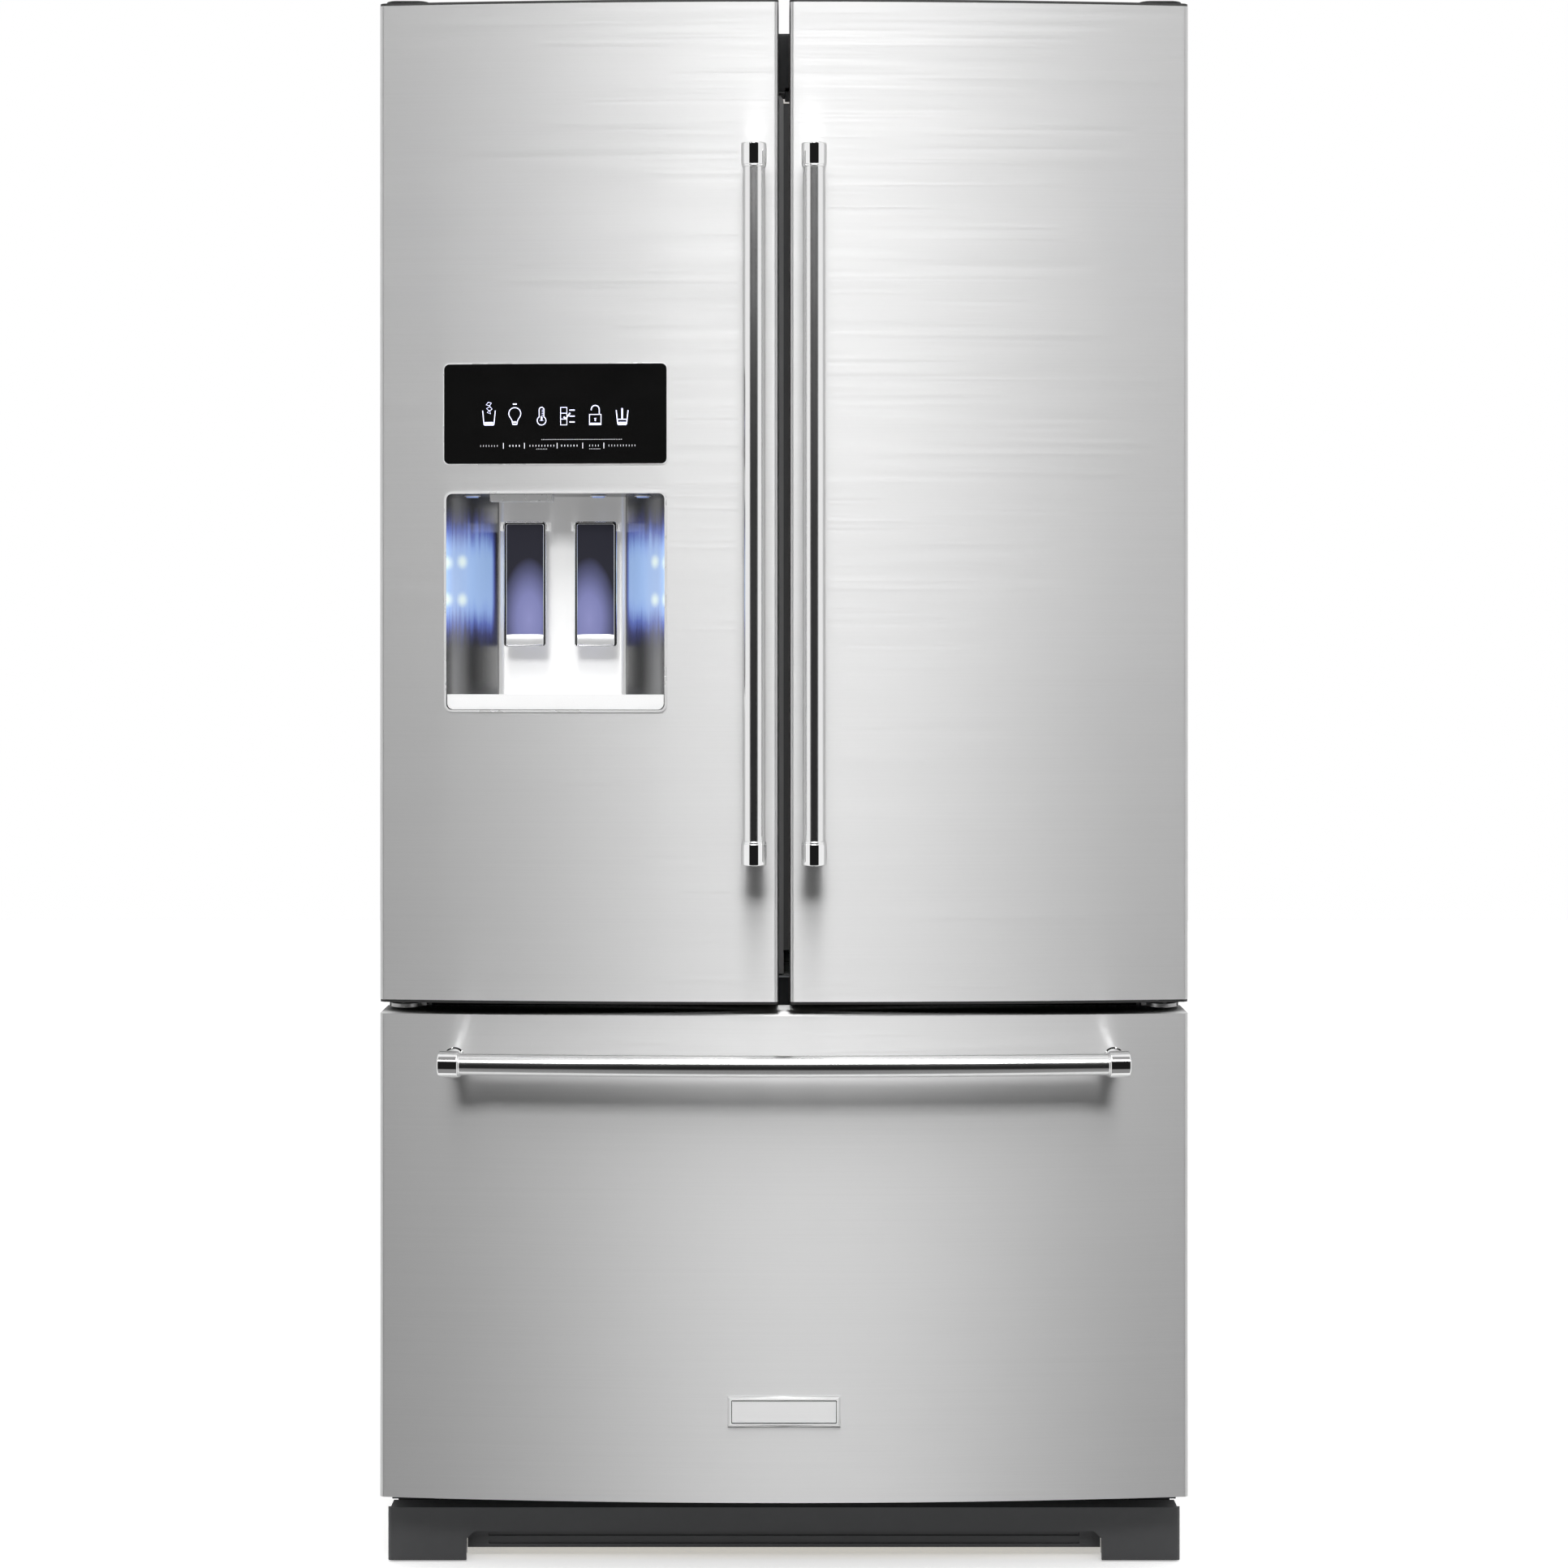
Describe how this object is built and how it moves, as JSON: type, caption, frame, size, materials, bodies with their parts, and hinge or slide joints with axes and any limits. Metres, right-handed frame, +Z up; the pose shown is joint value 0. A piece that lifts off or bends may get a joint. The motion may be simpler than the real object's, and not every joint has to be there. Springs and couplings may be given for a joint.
{
  "type": "french door refrigerator",
  "caption": "Stainless refrigerator with side-by-side upper doors, a door dispenser and a full-width freezer drawer.",
  "frame": {"origin": "on the floor, at the middle of the overall width and depth", "axes": "+X to the right seen from the front, -Y out of the doors, +Z up"},
  "size_m": [0.905, 0.9167, 1.781],
  "materials": {
    "cabinet_paint": "satin",
    "rear_sheet": "satin",
    "insulation_foam": "matte",
    "white_liner": "satin",
    "hinge_steel": "satin",
    "dark_plastic": "satin",
    "grille_plastic": "satin",
    "track_steel": "satin",
    "shelf_glass": "gloss",
    "frame_plastic": "satin",
    "lamp_lens": "gloss",
    "chassis_steel": "satin",
    "foot_plastic": "matte",
    "roller_plastic": "satin",
    "compressor_paint": "gloss",
    "cover_paint": "satin",
    "black_rubber": "matte",
    "valve_plastic": "satin",
    "rail_steel": "satin",
    "stainless": "satin",
    "cap_plastic": "satin",
    "gasket_rubber": "matte",
    "handle_steel": "satin",
    "handle_chrome": "polished",
    "clear_plastic": "gloss",
    "ice_housing": "satin",
    "panel_glass": "gloss",
    "well_plastic": "gloss",
    "trim_chrome": "polished",
    "niche_steel": "satin",
    "lamp_blue": "gloss",
    "chute_chrome": "polished",
    "paddle_plastic": "gloss",
    "tray_silver": "satin",
    "mullion_plastic": "satin",
    "badge_metal": "satin"
  },
  "bodies": {
    "cabinet": {"cabinet_wrapper": "cabinet_paint", "rear_panel": "rear_sheet", "foam_insulation": "insulation_foam", "fresh_food_liner": "white_liner", "freezer_liner": "white_liner", "door_hinges": "hinge_steel", "hinge_covers": "dark_plastic", "shelf_tracks": "track_steel", "glass_shelves": "shelf_glass", "shelf_frames": "frame_plastic", "air_duct_cover": "white_liner", "cabinet_lamps": "lamp_lens", "toe_grille": "grille_plastic", "chassis_rails": "chassis_steel", "leveling_feet": "foot_plastic", "compressor": "compressor_paint", "machine_cover": "cover_paint", "cord_gland": "black_rubber", "water_inlet": "valve_plastic", "freezer_rails": "rail_steel"},
    "left_door": {"left_door_skin": "stainless", "left_door_foam": "insulation_foam", "left_door_liner": "white_liner", "left_door_caps": "cap_plastic", "left_door_gasket": "gasket_rubber", "left_handle_bar": "handle_steel", "left_handle_ends": "handle_chrome", "left_door_bins": "clear_plastic", "ice_compartment": "ice_housing", "control_panel": "panel_glass", "dispenser_well": "well_plastic", "dispenser_trim": "trim_chrome", "dispenser_back_plate": "niche_steel", "dispenser_lamps": "lamp_blue", "ice_chute": "chute_chrome"},
    "mullion": {"mullion_bar": "mullion_plastic", "mullion_seal_lip": "gasket_rubber"},
    "ice_paddle": {"ice_paddle": "paddle_plastic"},
    "water_paddle": {"water_paddle": "paddle_plastic"},
    "drip_tray": {"drip_tray": "tray_silver"},
    "right_door": {"right_door_skin": "stainless", "right_door_foam": "insulation_foam", "right_door_liner": "white_liner", "right_door_caps": "cap_plastic", "right_door_gasket": "gasket_rubber", "right_handle_bar": "handle_steel", "right_handle_ends": "handle_chrome", "right_door_bins": "clear_plastic"},
    "dairy_lid": {"dairy_lid": "clear_plastic"},
    "freezer_drawer": {"freezer_drawer_skin": "stainless", "freezer_drawer_foam": "insulation_foam", "freezer_gasket": "gasket_rubber", "freezer_handle_bar": "handle_steel", "freezer_handle_ends": "handle_chrome", "badge": "badge_metal", "freezer_basket": "clear_plastic"},
    "freezer_tray": {"freezer_tray": "clear_plastic"},
    "crisper_left": {"crisper_left": "clear_plastic"},
    "crisper_right": {"crisper_right": "clear_plastic"},
    "rear_rollers": {"rear_rollers": "roller_plastic"}
  },
  "joints": [
    {"name": "left_door_hinge", "type": "hinge", "parent": "cabinet", "child": "left_door", "pos_m": [-0.427, -0.3346, 0.642], "axis": [0, 0, -1], "range_deg": [0, 130], "deforming": ["left_door_gasket", "mullion_seal_lip"]},
    {"name": "mullion_fold", "type": "hinge", "parent": "left_door", "child": "mullion", "pos_m": [-0.044, -0.2766, 0.76], "axis": [0, 0, 1], "range_deg": [0, 90]},
    {"name": "right_door_hinge", "type": "hinge", "parent": "cabinet", "child": "right_door", "pos_m": [0.427, -0.3346, 0.642], "axis": [0, 0, 1], "range_deg": [0, 130], "deforming": ["right_door_gasket"]},
    {"name": "freezer_drawer_slide", "type": "slide", "parent": "cabinet", "child": "freezer_drawer", "axis": [0, -1, 0], "range_m": [0, 0.4], "deforming": ["freezer_gasket"]},
    {"name": "freezer_tray_slide", "type": "slide", "parent": "freezer_drawer", "child": "freezer_tray", "axis": [0, 1, 0], "range_m": [0, 0.07]},
    {"name": "crisper_left_slide", "type": "slide", "parent": "cabinet", "child": "crisper_left", "axis": [0, -1, 0], "range_m": [0, 0.07]},
    {"name": "crisper_right_slide", "type": "slide", "parent": "cabinet", "child": "crisper_right", "axis": [0, -1, 0], "range_m": [0, 0.07]},
    {"name": "ice_paddle_push", "type": "hinge", "parent": "left_door", "child": "ice_paddle", "pos_m": [-0.2936, -0.3251, 1.176], "axis": [1, 0, 0], "range_deg": [0, 7], "stiffness_Nm_per_rad": 0.6},
    {"name": "water_paddle_push", "type": "hinge", "parent": "left_door", "child": "water_paddle", "pos_m": [-0.2134, -0.3251, 1.176], "axis": [1, 0, 0], "range_deg": [0, 7], "stiffness_Nm_per_rad": 0.6},
    {"name": "drip_tray_slide", "type": "slide", "parent": "left_door", "child": "drip_tray", "axis": [0, -1, 0], "range_m": [0, 0.1]},
    {"name": "dairy_lid_hinge", "type": "hinge", "parent": "right_door", "child": "dairy_lid", "pos_m": [0.235, -0.1926, 1.634], "axis": [1, 0, 0], "range_deg": [0, 80]},
    {"name": "rear_roller_spin", "type": "hinge", "parent": "cabinet", "child": "rear_rollers", "pos_m": [0.42, 0.3984, 0.02], "axis": [1, 0, 0], "continuous": true}
  ],
  "couplings": [
    {"joint": "mullion_fold", "follows": "left_door_hinge", "ratio": 0.692}
  ]
}
